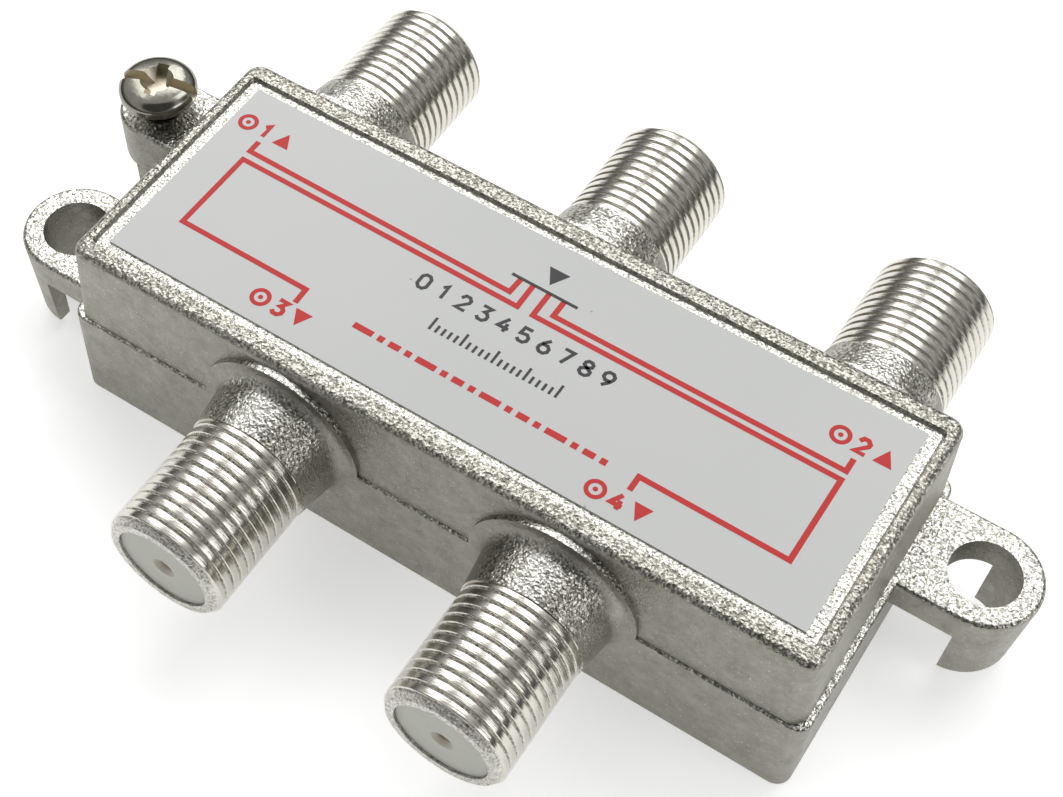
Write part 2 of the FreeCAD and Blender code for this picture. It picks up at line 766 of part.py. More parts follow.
def solder_joints():
    """Fillets along the contacts' tails and rings round the posts' pins."""
    joints = []
    half = TAIL_WIDTH / 2
    wedge = Part.Face(Part.Wire(outline([
        Vector(half, 0, 0), Vector(half, 0, -FILLET_HEIGHT), Vector(half + FILLET_WIDTH, 0, 0),
    ])))
    fillet = wedge.extrude(Vector(0, FILLET_LENGTH, 0))
    fillet.translate(Vector(0, board_half_y - FILLET_WIDTH - FILLET_LENGTH, BOARD_Z - PORT_Z))
    mirrored = fillet.mirror(ORIGIN, AXIS_X)
    for port in PORTS:
        joints.append(at_port(fillet, port))
        joints.append(at_port(mirrored, port))
    ring = turned(outline([
        Vector(PIN_R, 0, 0), Vector(PIN_R + RING_WIDTH, 0, 0), Vector(PIN_R, 0, -RING_HEIGHT),
    ]), AXIS_Z)
    for x in (-post_x, post_x):
        for y in (-post_y, post_y):
            joints.append(on_board(ring, x, y))
    return Part.makeCompound(joints)


def main():
    os.makedirs("parts", exist_ok=True)
    save("housing", housing())
    save("back_plate", back_plate())
    save("label", label())
    save("ground_screw", ground_screw())
    for port in PORTS:
        name, x, side = port
        save("insulator_" + name, at_port(insulator(), port))
        save("contact_" + name, at_port(contact(), port))
        save("bushing_" + name, at_port(bushing(), port))
        y = side * (board_half_y - CAPACITOR_FROM_BOARD_SIDE)
        capacitor = chip(CAPACITOR_LENGTH, CAPACITOR_WIDTH, CAPACITOR_HEIGHT)
        save("capacitor_" + name, on_board(capacitor, x + CAPACITOR_OFFSET, y))
    save("circuit_board", circuit_board())
    for name, x, y in CORES:
        save("core_" + name, on_board(ferrite_core(), x, y))
        save("winding_" + name, on_board(winding(), x, y))
    for name, x, y in HYBRIDS:
        inwards = -1 if x > 0 else 1
        resistor = chip(RESISTOR_LENGTH, RESISTOR_WIDTH, RESISTOR_HEIGHT)
        save("resistor_" + name, on_board(resistor, x + inwards * RESISTOR_OFFSET, y, 1))
    for name, x, side in OUTPUTS:
        inwards = -1 if x > 0 else 1
        choke_y = side * (board_half_y - CHOKE_FROM_BOARD_SIDE)
        save("choke_rod_" + name, on_board(choke_rod(), x, choke_y))
        save("choke_coil_" + name, on_board(choke_coil(), x, choke_y))
        diode_y = side * (board_half_y - DIODE_FROM_BOARD_SIDE)
        save("diode_" + name, on_board(diode(), x + inwards * DIODE_OFFSET, diode_y))
    save("solder_joints", solder_joints())


main()
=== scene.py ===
import math

import bmesh
import bpy
from mathutils import Matrix, Vector


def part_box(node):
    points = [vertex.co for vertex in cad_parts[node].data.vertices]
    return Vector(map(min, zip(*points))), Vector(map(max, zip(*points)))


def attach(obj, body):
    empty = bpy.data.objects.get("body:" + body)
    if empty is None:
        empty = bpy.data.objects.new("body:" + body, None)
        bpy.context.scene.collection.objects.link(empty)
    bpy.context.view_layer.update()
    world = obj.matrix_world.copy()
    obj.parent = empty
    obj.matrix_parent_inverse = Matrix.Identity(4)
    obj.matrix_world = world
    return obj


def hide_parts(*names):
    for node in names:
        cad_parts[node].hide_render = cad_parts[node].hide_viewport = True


# Looks of the coaxial splitter, in metres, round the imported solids.

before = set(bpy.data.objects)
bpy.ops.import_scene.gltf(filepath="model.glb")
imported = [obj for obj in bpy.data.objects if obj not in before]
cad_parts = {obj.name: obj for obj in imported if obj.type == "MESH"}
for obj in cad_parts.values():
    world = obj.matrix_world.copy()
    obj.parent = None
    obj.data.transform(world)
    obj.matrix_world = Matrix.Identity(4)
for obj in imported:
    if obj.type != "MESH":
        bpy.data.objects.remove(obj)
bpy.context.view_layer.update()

MM = 0.001
LABEL_TOP_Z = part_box("label")[1][2] / MM
RIM_TOP_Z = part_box("housing")[1][2] / MM
SCREW_TOP_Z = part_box("ground_screw")[1][2] / MM

# Sizes in millimetres that repeat those of the part's source
PORT_PITCH = 22.6
PORT_Z = 8.9
NECK_END_Y = 15.4
MOUTH_Y = 25.15
BARREL_R = 4.7625
MOUTH_CHAMFER = 0.55
SCREW_X, SCREW_Y = -35.45, 6.0
SHANK_R = 1.7
SHANK_TIP_Z = 7.6
HEAD_UNDERSIDE_Z = 13.75
HEAD_R = 3.03
HEAD_ROUND_R = 0.8

# Each port's place along the housing, and the side it leaves by: 1 the rear, -1 the front
PORTS = [
    (-PORT_PITCH, 1),
    (0.0, 1),
    (PORT_PITCH, 1),
    (-PORT_PITCH / 2, -1),
    (PORT_PITCH / 2, -1),
]


# Camera
# Fitted to the photograph. Its width and focal length are in the photograph's pixels, the shift
# is in shares of its width, and the place is in metres.
PHOTO_WIDTH = 1063
FOCAL_LENGTH = 1741.36
SHIFT_X, SHIFT_Y = 0.0758, 0.0791
SENSOR_WIDTH = 36.0
CAMERA_RIGHT = Vector((0.834629, 0.550638, 0.013859))
CAMERA_DOWN = Vector((0.476170, -0.708651, -0.520650))
CAMERA_FORWARD = Vector((-0.276868, 0.441149, -0.853658))
CAMERA_PLACE = (0.034825, -0.062154, 0.112816)


def aim_camera():
    """Camera at the photograph's place."""
    data = bpy.data.cameras.new("camera")
    data.sensor_width = SENSOR_WIDTH
    data.lens = FOCAL_LENGTH * SENSOR_WIDTH / PHOTO_WIDTH
    data.shift_x, data.shift_y = SHIFT_X, SHIFT_Y
    data.clip_start = 5 * MM
    camera = bpy.data.objects.new("camera", data)
    bpy.context.scene.collection.objects.link(camera)
    axes = Matrix((CAMERA_RIGHT, -CAMERA_DOWN, -CAMERA_FORWARD))
    camera.matrix_world = Matrix.Translation(CAMERA_PLACE) @ axes.transposed().to_4x4()
    bpy.context.scene.camera = camera


aim_camera()


# Materials

def colour(code):
    """Linear colour of an sRGB hex value."""
    channels = [int(code[i:i + 2], 16) / 255 for i in (1, 3, 5)]
    linear = [c / 12.92 if c <= 0.04045 else ((c + 0.055) / 1.055) ** 2.4 for c in channels]
    return (*linear, 1.0)


def add(tree, kind, inputs, **settings):
    """Adds a node with its settings; each input is a value or another node's output."""
    node = tree.nodes.new(kind)
    for name, value in settings.items():
        setattr(node, name, value)
    for name, value in inputs.items():
        if isinstance(value, bpy.types.NodeSocket):
            tree.links.new(value, node.inputs[name])
        else:
            node.inputs[name].default_value = value
    return node


def start_material(name):
    """New material and its empty node tree."""
    made = bpy.data.materials.new(name)
    made.use_nodes = True
    made.node_tree.nodes.clear()
    return made, made.node_tree


def millimetres(tree):
    """The piece's own coordinates in millimetres, and its smooth normal."""
    own = add(tree, "ShaderNodeTexCoord", {})
    scaled = add(tree, "ShaderNodeVectorMath", {0: own.outputs["Object"], "Scale": 1 / MM},
                 operation="SCALE")
    return scaled.outputs[0], own.outputs["Normal"]


# Sizes of what shows in the finishes, in millimetres. The photograph has about 13 pixels to a
# millimetre, so none is below 0.08, and grain or marks too fine for that are drawn coarser.
BLAST_GRAIN = 0.21
SATIN_GRAIN = 0.16
GLINT_SPACING = 0.45
CLOUD_SIZE = 1.6
TURNING_MARK = 0.09
GROOVE_GRAIN = 0.18
STAIN_SIZE = 5 / 7
FILM_CLOUD = 12.5
FILM_SKIN = 0.625
DUST_SPACING = 10 / 3
WAXY_CLOUD = 0.4

# Depths of the reliefs at full strength, in millimetres
BLAST_DEPTH = 0.11
GROOVE_GRAIN_DEPTH = 0.12
POLISH_DEPTH = 0.06
FILM_DEPTH = 0.05
SKIN_DEPTH = 0.04

# How far a face looks up, as the height of its normal: where the blasted grain and the colour
# painted lighter as light begin and are full, and where a slope's painted shade gives way to a
# level face
GRAIN_FROM, GRAIN_FULL = 0.42, 0.72
SLOPE_FROM, LEVEL_FROM = 0.92, 0.985

# Depths in millimetres below the rim's top at which the painted shade on its crest begins and is
# full, and half the height over which the rim's grain begins, at the label's face
CREST_BEGINS, CREST_FULL = 0.16, 0.04
RIM_BLEND = 0.04


def cast_nickel():
    """Zinc die casting under nickel plate.

    Faces that look up, and the rim round the label, keep a sparkling blasted grain, in a colour
    painted lighter as light falls on them; on the rim's crest and on slopes the colour is painted
    darker, as shade. Upright walls left the mould smoother: a satin grey with a much finer grain,
    painted darker than the tops as shade, and a few painted glints.
    """
    made, tree = start_material("nickel_plated_die_cast_zinc")
    point, normal = millimetres(tree)
    facing = add(tree, "ShaderNodeSeparateXYZ", {0: normal})
    height_mm = add(tree, "ShaderNodeSeparateXYZ", {0: point})
    # Masks of the rim and of the faces that look up: these take the coarse grain and a colour
    # painted lighter, as light falls on them.
    on_rim = add(tree, "ShaderNodeMapRange", {
        "Value": height_mm.outputs["Z"], "From Min": LABEL_TOP_Z - RIM_BLEND,
        "From Max": LABEL_TOP_Z + RIM_BLEND,
    })
    upward = add(tree, "ShaderNodeMapRange", {
        "Value": facing.outputs["Z"], "From Min": GRAIN_FROM, "From Max": GRAIN_FULL,
    }, interpolation_type="SMOOTHSTEP")
    coarse_and_lit = add(tree, "ShaderNodeMath", {0: upward.outputs[0], 1: on_rim.outputs[0]},
                 operation="MAXIMUM")

    grain = add(tree, "ShaderNodeTexVoronoi", {"Vector": point, "Scale": 1 / BLAST_GRAIN})
    tilt = add(tree, "ShaderNodeVectorMath", {0: grain.outputs["Color"], 1: (0.5, 0.5, 0.5)},
               operation="SUBTRACT")
    amount = add(tree, "ShaderNodeMapRange", {
        "Value": coarse_and_lit.outputs[0], "To Min": 0.14, "To Max": 0.20,
    })
    tilted = add(tree, "ShaderNodeVectorMath", {0: tilt.outputs[0], "Scale": amount.outputs[0]},
                 operation="SCALE")
    facets = add(tree, "ShaderNodeVectorMath", {0: normal, 1: tilted.outputs[0]},
                 operation="ADD")
    facets_unit = add(tree, "ShaderNodeVectorMath", {0: facets.outputs[0]},
                      operation="NORMALIZE")
    into_world = add(tree, "ShaderNodeVectorTransform", {0: facets_unit.outputs[0]},
                     vector_type="NORMAL", convert_from="OBJECT", convert_to="WORLD")

    pits = add(tree, "ShaderNodeTexNoise", {
        "Vector": point, "Scale": 1 / BLAST_GRAIN, "Detail": 1.0, "Roughness": 0.5,
    })
    domes = add(tree, "ShaderNodeMix", {
        "Factor": 0.4, 2: pits.outputs[0], 3: grain.outputs["Distance"],
    }, data_type="FLOAT")
    fine = add(tree, "ShaderNodeTexNoise", {
        "Vector": point, "Scale": 1 / SATIN_GRAIN, "Detail": 1.0, "Roughness": 0.6,
    })
    height = add(tree, "ShaderNodeMix", {
        "Factor": coarse_and_lit.outputs[0], 2: fine.outputs[0], 3: domes.outputs[0],
    }, data_type="FLOAT")
    depth = add(tree, "ShaderNodeMapRange", {
        "Value": coarse_and_lit.outputs[0], "To Min": 0.40, "To Max": 0.80,
    })
    bump = add(tree, "ShaderNodeBump", {
        "Strength": depth.outputs[0], "Distance": BLAST_DEPTH * MM,
        "Height": height.outputs[0], "Normal": into_world.outputs[0],
    })

    clouds = add(tree, "ShaderNodeTexNoise", {
        "Vector": point, "Scale": 1 / CLOUD_SIZE, "Detail": 5.0, "Roughness": 0.85,
    })
    # The walls' satin grey, its tone varying at random, is painted darker than the tops, as
    # shade.
    satin = add(tree, "ShaderNodeMix", {
        "Factor": clouds.outputs[0], 6: colour("#656359"), 7: colour("#BEBCB2"),
    }, data_type="RGBA")
    # Painted glints: sparse bright dots in the walls' colour.
    dots = add(tree, "ShaderNodeTexVoronoi", {"Vector": point, "Scale": 1 / GLINT_SPACING})
    glint = add(tree, "ShaderNodeMapRange", {
        "Value": dots.outputs["Distance"], "From Min": 0.07, "From Max": 0.12,
        "To Min": 1.0, "To Max": 0.0,
    })
    wall = add(tree, "ShaderNodeMix", {
        "Factor": glint.outputs[0], 6: satin.outputs[2], 7: colour("#D8D7D0"),
    }, data_type="RGBA")
    specks = add(tree, "ShaderNodeMapRange", {
        "Value": pits.outputs[0], "From Min": 0.38, "From Max": 0.60,
    })
    # The tops' colour: real specks of grain, painted lighter as light falls on them.
    bright = add(tree, "ShaderNodeMix", {
        "Factor": specks.outputs[0], 6: colour("#A8A69C"), 7: colour("#F2F1EB"),
    }, data_type="RGBA")
    # Painted shade: a darker colour on the rim's crest and on slopes.
    painted_shade = add(tree, "ShaderNodeMix", {
        "Factor": specks.outputs[0], 6: colour("#7A786E"), 7: colour("#C3C1B7"),
    }, data_type="RGBA")
    crest = add(tree, "ShaderNodeMapRange", {
        "Value": height_mm.outputs["Z"], "From Min": RIM_TOP_Z - CREST_BEGINS,
        "From Max": RIM_TOP_Z - CREST_FULL,
    })
    sloping = add(tree, "ShaderNodeMapRange", {
        "Value": facing.outputs["Z"], "From Min": SLOPE_FROM, "From Max": LEVEL_FROM,
        "To Min": 1.0, "To Max": 0.0,
    })
    painted_shade_mask = add(tree, "ShaderNodeMath", {0: crest.outputs[0], 1: sloping.outputs[0]},
                 operation="MAXIMUM")
    level = add(tree, "ShaderNodeMix", {
        "Factor": painted_shade_mask.outputs[0], 6: bright.outputs[2], 7: painted_shade.outputs[2],
    }, data_type="RGBA")
    # Painted light and shade: the lighter tops and the darker walls.
    painted_light_and_grain = add(tree, "ShaderNodeMix", {
        "Factor": coarse_and_lit.outputs[0], 6: wall.outputs[2], 7: level.outputs[2],
    }, data_type="RGBA")
    gloss = add(tree, "ShaderNodeMapRange", {
        "Value": coarse_and_lit.outputs[0], "To Min": 0.46, "To Max": 0.30,
    })
    surface = add(tree, "ShaderNodeBsdfPrincipled", {
        "Base Color": painted_light_and_grain.outputs[2], "Metallic": 1.0, "Roughness": gloss.outputs[0],
        "Normal": bump.outputs[0],
    })
    add(tree, "ShaderNodeOutputMaterial", {"Surface": surface.outputs[0]})
    return made


def thread_nickel():
    """The plating over the turned thread.

    The crests were turned bright and keep fine rings; the grooves and the chamfer at the
    mouth keep the grain of the casting.
    """
    made, tree = start_material("nickel_plated_turned_thread")
    point, _ = millimetres(tree)
    groove = add(tree, "ShaderNodeAttribute", {}, attribute_name="groove")
    along = add(tree, "ShaderNodeVectorMath", {0: point, 1: (0.06, 1.0, 0.06)},
                operation="MULTIPLY")
    rings = add(tree, "ShaderNodeTexNoise", {
        "Vector": along.outputs[0], "Scale": 1 / TURNING_MARK, "Detail": 2.0, "Roughness": 0.6,
    })
    grain = add(tree, "ShaderNodeTexNoise", {
        "Vector": point, "Scale": 1 / GROOVE_GRAIN, "Detail": 2.0, "Roughness": 0.6,
    })
    height = add(tree, "ShaderNodeMix", {
        "Factor": groove.outputs["Fac"], 2: rings.outputs[0], 3: grain.outputs[0],
    }, data_type="FLOAT")
    depth = add(tree, "ShaderNodeMapRange", {
        "Value": groove.outputs["Fac"], "To Min": 0.16, "To Max": 1.0,
    })
    bump = add(tree, "ShaderNodeBump", {
        "Strength": depth.outputs[0], "Distance": GROOVE_GRAIN_DEPTH * MM,
        "Height": height.outputs[0],
    })
    specks = add(tree, "ShaderNodeMapRange", {
        "Value": grain.outputs[0], "From Min": 0.36, "From Max": 0.56,
    })
    rough = add(tree, "ShaderNodeMix", {
        "Factor": specks.outputs[0], 6: colour("#8F8D84"), 7: colour("#D6D4CC"),
    }, data_type="RGBA")
    base = add(tree, "ShaderNodeMix", {
        "Factor": groove.outputs["Fac"], 6: colour("#CFCCC2"), 7: rough.outputs[2],
    }, data_type="RGBA")
    gloss = add(tree, "ShaderNodeMapRange", {
        "Value": groove.outputs["Fac"], "To Min": 0.14, "To Max": 0.3,
    })
    surface = add(tree, "ShaderNodeBsdfPrincipled", {
        "Base Color": base.outputs[2], "Metallic": 1.0, "Roughness": gloss.outputs[0],
        "Normal": bump.outputs[0],
    })
    add(tree, "ShaderNodeOutputMaterial", {"Surface": surface.outputs[0]})
    return made


def bright_nickel(name, light, dark, roughness):
    """Nickel plate over steel: turned, it is mirror-like; punched, it is satin and warmer.

    Both have faint stains of polish.
    """
    made, tree = start_material(name)
    point, _ = millimetres(tree)
    stains = add(tree, "ShaderNodeTexNoise", {
        "Vector": point, "Scale": 1 / STAIN_SIZE, "Detail": 4.0, "Roughness": 0.6,
    })
    base = add(tree, "ShaderNodeMix", {
        "Factor": stains.outputs[0], 6: colour(dark), 7: colour(light),
    }, data_type="RGBA")
    ripple = add(tree, "ShaderNodeBump", {
        "Strength": 0.12, "Distance": POLISH_DEPTH * MM, "Height": stains.outputs[0],
    })
    surface = add(tree, "ShaderNodeBsdfPrincipled", {
        "Base Color": base.outputs[2], "Metallic": 1.0, "Roughness": roughness,
        "Normal": ripple.outputs[0],
    })
    add(tree, "ShaderNodeOutputMaterial", {"Surface": surface.outputs[0]})
    return made


def label_film():
    """Self-adhesive vinyl film, screen printed: satin, pale grey, with a few dust specks."""
    made, tree = start_material("satin_vinyl_film")
    point, _ = millimetres(tree)
    clouds = add(tree, "ShaderNodeTexNoise", {
        "Vector": point, "Scale": 1 / FILM_CLOUD, "Detail": 2.0, "Roughness": 0.5,
    })
    film = add(tree, "ShaderNodeMix", {
        "Factor": clouds.outputs[0], 6: colour("#D6D8D6"), 7: colour("#DDDEDC"),
    }, data_type="RGBA")
    dust = add(tree, "ShaderNodeTexVoronoi", {"Vector": point, "Scale": 1 / DUST_SPACING})
    speck = add(tree, "ShaderNodeMapRange", {
        "Value": dust.outputs["Distance"], "From Min": 0.02, "From Max": 0.035,
    })
    base = add(tree, "ShaderNodeMix", {
        "Factor": speck.outputs[0], 6: colour("#A4A6A5"), 7: film.outputs[2],
    }, data_type="RGBA")
    skin = add(tree, "ShaderNodeTexNoise", {
        "Vector": point, "Scale": 1 / FILM_SKIN, "Detail": 2.0, "Roughness": 0.5,
    })
    bump = add(tree, "ShaderNodeBump", {
        "Strength": 0.06, "Distance": FILM_DEPTH * MM, "Height": skin.outputs[0],
    })
    surface = add(tree, "ShaderNodeBsdfPrincipled", {
        "Base Color": base.outputs[2], "Roughness": 0.38, "IOR": 1.5,
        "Normal": bump.outputs[0],
    })
    add(tree, "ShaderNodeOutputMaterial", {"Surface": surface.outputs[0]})
    return made


def plain_finish(name, light, dark, roughness, grain_mm, metallic=0.0):
    """A printed, moulded, fired or drawn surface: two close shades in a fine grain."""
    made, tree = start_material(name)
    point, _ = millimetres(tree)
    grain = add(tree, "ShaderNodeTexNoise", {
        "Vector": point, "Scale": 1 / grain_mm, "Detail": 3.0, "Roughness": 0.6,
    })
    base = add(tree, "ShaderNodeMix", {
        "Factor": grain.outputs[0], 6: colour(dark), 7: colour(light),
    }, data_type="RGBA")
    bump = add(tree, "ShaderNodeBump", {
        "Strength": 0.2, "Distance": SKIN_DEPTH * MM, "Height": grain.outputs[0],
    })
    surface = add(tree, "ShaderNodeBsdfPrincipled", {
        "Base Color": base.outputs[2], "Metallic": metallic, "Roughness": roughness,
        "Normal": bump.outputs[0],
    })
    add(tree, "ShaderNodeOutputMaterial", {"Surface": surface.outputs[0]})
    return made


def insulator_plastic():
    """Moulded polyethylene: off-white and waxy, with a beige ring at the centre hole.

    Ports stand at whole multiples of half the pitch, so folding x there gives every insulator
    its own distance from the centre.
    """
    made, tree = start_material("moulded_natural_polyethylene")
    point, _ = millimetres(tree)
    axes = add(tree, "ShaderNodeSeparateXYZ", {0: point})
    aside = add(tree, "ShaderNodeMath", {0: axes.outputs["X"], 1: PORT_PITCH / 4},
                operation="PINGPONG")
    above = add(tree, "ShaderNodeMath", {0: axes.outputs["Z"], 1: PORT_Z}, operation="SUBTRACT")
    offset = add(tree, "ShaderNodeCombineXYZ", {"X": aside.outputs[0], "Z": above.outputs[0]})
    distance = add(tree, "ShaderNodeVectorMath", {0: offset.outputs[0]}, operation="LENGTH")
    near = add(tree, "ShaderNodeMapRange", {
        "Value": distance.outputs["Value"], "From Min": 0.6, "From Max": 1.0,
        "To Min": 1.0, "To Max": 0.0,
    }, interpolation_type="SMOOTHSTEP")
    grain = add(tree, "ShaderNodeTexNoise", {
        "Vector": point, "Scale": 1 / WAXY_CLOUD, "Detail": 3.0, "Roughness": 0.6,
    })
    white = add(tree, "ShaderNodeMix", {
        "Factor": grain.outputs[0], 6: colour("#E0E1D3"), 7: colour("#EAEBDD"),
    }, data_type="RGBA")
    base = add(tree, "ShaderNodeMix", {
        "Factor": near.outputs[0], 6: white.outputs[2], 7: colour("#DFD8C8"),
    }, data_type="RGBA")
    bump = add(tree, "ShaderNodeBump", {
        "Strength": 0.1, "Distance": SKIN_DEPTH * MM, "Height": grain.outputs[0],
    })
    surface = add(tree, "ShaderNodeBsdfPrincipled", {
        "Base Color": base.outputs[2], "Roughness": 0.45, "IOR": 1.51,
        "Subsurface Weight": 0.7, "Subsurface Radius": (0.0012, 0.0011, 0.0009),
        "Subsurface Scale": 0.6, "Normal": bump.outputs[0],
    })
    add(tree, "ShaderNodeOutputMaterial", {"Surface": surface.outputs[0]})
    return made


CAST = cast_nickel()
THREAD = thread_nickel()
SCREW = bright_nickel("nickel_plated_steel", "#A09E94", "#7A786E", 0.15)
RECESS = bright_nickel("nickel_plated_punched_recess", "#DDD5C3", "#BDB5A1", 0.42)
FILM = label_film()
INSULATOR = insulator_plastic()
# Screen printed ink: satin, and a little uneven from the mesh that it came through
RED_INK = plain_finish("screen_ink_red", "#DA2624", "#CE211F", 0.52, 0.3)
BLACK_INK = plain_finish("screen_ink_black", "#2E2E2E", "#242424", 0.42, 0.3)

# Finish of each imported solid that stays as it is, by how its name begins
FINISHES = {
    "label": FILM,
    "insulator": INSULATOR,
    # Tinned sheet steel from the rolling mill: pale and half bright
    "back_plate": plain_finish("rolled_tinplate", "#C2C3C2", "#A9AAA9", 0.34, 0.5, 1.0),
    # Moulded polyethylene: pale and waxy
    "bushing": plain_finish("natural_polyethylene_inner", "#DEDED7", "#D0CFC6", 0.5, 0.4),
    # Bronze strip, stamped, folded and tinned: warm and bright
    "contact": plain_finish("tinned_phosphor_bronze", "#D2C6A4", "#BDB08C", 0.3, 0.3, 1.0),
    # Glass fibre pressed in resin, under green lacquer: satin and a little uneven
    "circuit": plain_finish("glass_fibre_laminate", "#1F5A34", "#184A2A", 0.4, 0.35),
    # Ferrite powder, pressed and fired: dull and nearly black
    "core": plain_finish("sintered_ferrite", "#3A3A3C", "#2A2A2C", 0.6, 0.15),
    # Drawn copper wire under clear enamel: glossy and reddish
    "winding": plain_finish("enamelled_copper_wire", "#B5643A", "#9A4C27", 0.25, 0.4, 1.0),
    # Ferrite and enamelled wire again
    "choke_rod": plain_finish("sintered_ferrite_rod", "#3A3A3C", "#2A2A2C", 0.6, 0.15),
    "choke_coil": plain_finish("enamelled_copper_coil", "#B5643A", "#9A4C27", 0.25, 0.4, 1.0),
    # Fired ceramic: satin and tan
    "capacitor": plain_finish("fired_ceramic_tan", "#B99A6E", "#A5875E", 0.5, 0.12),
    # Glazed ceramic: glossy black
    "resistor": plain_finish("glazed_ceramic_black", "#262626", "#1A1A1A", 0.3, 0.12),
    # Moulded epoxy: matt black
    "diode": plain_finish("moulded_epoxy_black", "#2B2B2B", "#1F1F1F", 0.55, 0.15),
    # Solder that set from the melt: bright and smooth
    "solder": plain_finish("bright_solder", "#CDCFD1", "#B3B5B7", 0.25, 0.3, 1.0),
}


# Mesh helpers
# Distances in metres within which the solids' faces are joined, an edge counts as having no
# length, and points count as one
WELD = 2e-6
NO_LENGTH = 1e-6
SAME_PLACE = 1e-7


def place(name, mesh, body):
    """Object of a mesh that rides on a body and wears the finish that its mesh holds."""
    piece = bpy.data.objects.new(name, mesh)
    bpy.context.scene.collection.objects.link(piece)
    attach(piece, body)
    return piece


def welded_copy(node):
    """Copy of a node's mesh with the vertices of neighbouring faces joined."""
    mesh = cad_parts[node].data.copy()
    bm = bmesh.new()
    bm.from_mesh(mesh)
    bmesh.ops.remove_doubles(bm, verts=bm.verts, dist=WELD)
    bmesh.ops.dissolve_degenerate(bm, dist=NO_LENGTH, edges=bm.edges)
    bmesh.ops.triangulate(bm, faces=bm.faces)
    bm.to_mesh(mesh)
    bm.free()
    return mesh


# Thread's profile over one pitch: share of the pitch, share of the depth
THREAD_PROFILE = [
    (0.0, -0.04), (0.16, -0.03), (0.30, 0.0), (0.36, 0.2), (0.43, 0.85), (0.5, 1.0),
    (0.57, 0.85), (0.64, 0.2), (0.70, 0.0), (0.84, -0.03),
]


def groove_cutter(crest_r, depth, pitch, low, high, outer_r, around):
    """Ring whose inner side is a helical thread about +Y, to be cut from a plain barrel.

    Its rows follow the helix. What would pass the ends is gathered on the end rings.
    """
    bm = bmesh.new()
    rows = len(THREAD_PROFILE)
    turns = math.ceil((high - low) / pitch) + 1
    columns = []
    for i in range(around):
        angle = math.tau * i / around
        column = []
        for k in range(turns * rows + 1):
            share, cut = THREAD_PROFILE[k % rows]
            y = low + pitch * (k // rows + share + i / around - 1)
            r = crest_r - depth * cut
            if y <= low or y >= high:
                y, r = min(max(y, low), high), crest_r
            column.append(bm.verts.new((r * math.cos(angle), y, r * math.sin(angle))))
        columns.append(column)
    for i in range(around):
        j = (i + 1) % around
        step = rows if j == 0 else 0
        for k in range(turns * rows - step):
            near, far = columns[i], columns[j]
            bm.faces.new((near[k], near[k + 1], far[k + 1 + step], far[k + step]))
    bmesh.ops.remove_doubles(bm, verts=bm.verts, dist=SAME_PLACE)
    rims = []
    for y in (low, high):
        ring = [e for e in bm.edges if e.is_boundary and abs(e.verts[0].co.y - y) < NO_LENGTH]
        made = bmesh.ops.extrude_edge_only(bm, edges=ring)["geom"]
        rims += [e for e in made if isinstance(e, bmesh.types.BMEdge) and e.is_boundary]
        for vertex in made:
            if isinstance(vertex, bmesh.types.BMVert):
                grow = outer_r / math.hypot(vertex.co.x, vertex.co.z)
                vertex.co.x *= grow
                vertex.co.z *= grow
    bmesh.ops.bridge_loops(bm, edges=rims)
    bmesh.ops.triangulate(bm, faces=bm.faces)
    bmesh.ops.recalc_face_normals(bm, faces=bm.faces)
    mesh = bpy.data.meshes.new("groove")
    bm.to_mesh(mesh)
    bm.free()
    return mesh


def cut_away(mesh, cutters):
    """Mesh less each cutter, given as (mesh, matrix)."""
    body = bpy.data.objects.new("body", mesh)
    bpy.context.scene.collection.objects.link(body)
    tools = []
    for cutter, matrix in cutters:
        tool = bpy.data.objects.new("cutter", cutter)
        tool.matrix_world = matrix
        bpy.context.scene.collection.objects.link(tool)
        tools.append(tool)
        boolean = body.modifiers.new("groove", "BOOLEAN")
        boolean.operation = "DIFFERENCE"
        boolean.solver = "MANIFOLD"
        boolean.object = tool
    bpy.context.view_layer.update()
    graph = bpy.context.evaluated_depsgraph_get()
    cut = bpy.data.meshes.new_from_object(body.evaluated_get(graph))
    for spare in [body] + tools:
        bpy.data.objects.remove(spare)
    return cut


def smoothed(mesh, degrees):
    """Copy shaded smooth up to an angle, its normals led by the larger faces."""
    bm = bmesh.new()
    bm.from_mesh(mesh)
    for face in bm.faces:
        face.smooth = True
    for edge in bm.edges:
        edge.smooth = edge.calc_face_angle(0) < math.radians(degrees)
    bm.to_mesh(mesh)
    bm.free()
    body = bpy.data.objects.new("body", mesh)
    bpy.context.scene.collection.objects.link(body)
    weighted = body.modifiers.new("weighted", "WEIGHTED_NORMAL")
    weighted.keep_sharp = True
    weighted.weight = 100
    bpy.context.view_layer.update()
    graph = bpy.context.evaluated_depsgraph_get()
    finished = bpy.data.meshes.new_from_object(body.evaluated_get(graph))
    bpy.data.objects.remove(body)
    return finished


# Housing with its threads
# Sizes in millimetres. With the groove a skim comes off the barrels and the shank, which makes
# them truly round. The cutters' own outer radii only have to clear the metal.
THREAD_PITCH = 0.794
THREAD_DEPTH = 0.2
THREAD_STEPS = 80
THREAD_CUTTER_R = 5.6
PAST_MOUTH = 0.3
SCREW_PITCH = 0.6
SCREW_THREAD_DEPTH = 0.32
SCREW_THREAD_STEPS = 48
SCREW_CUTTER_R = 2.2
SKIM = 0.025
# The casting's grain begins this far below the crests and is full at a share of the groove's
# depth. It is also full over a share of the chamfer at the mouth.
GRAIN_BELOW_CREST = 0.01
GRAINED_DEPTH = 0.6
GRAINED_CHAMFER = 0.8
# How far outside the thread's bounds a face still belongs to it
THREAD_SLACK = 0.05
# Edges that turn by fewer degrees are shaded smooth
SMOOTH_BELOW = 35


def nearest_port(point):
    """Distance in millimetres from the nearest port's axis, and reach along it."""
    distances = [
        math.hypot(point.x / MM - x, point.z / MM - PORT_Z)
        for x, side in PORTS if point.y * side > 0
    ]
    return min(distances, default=math.inf), abs(point.y / MM)


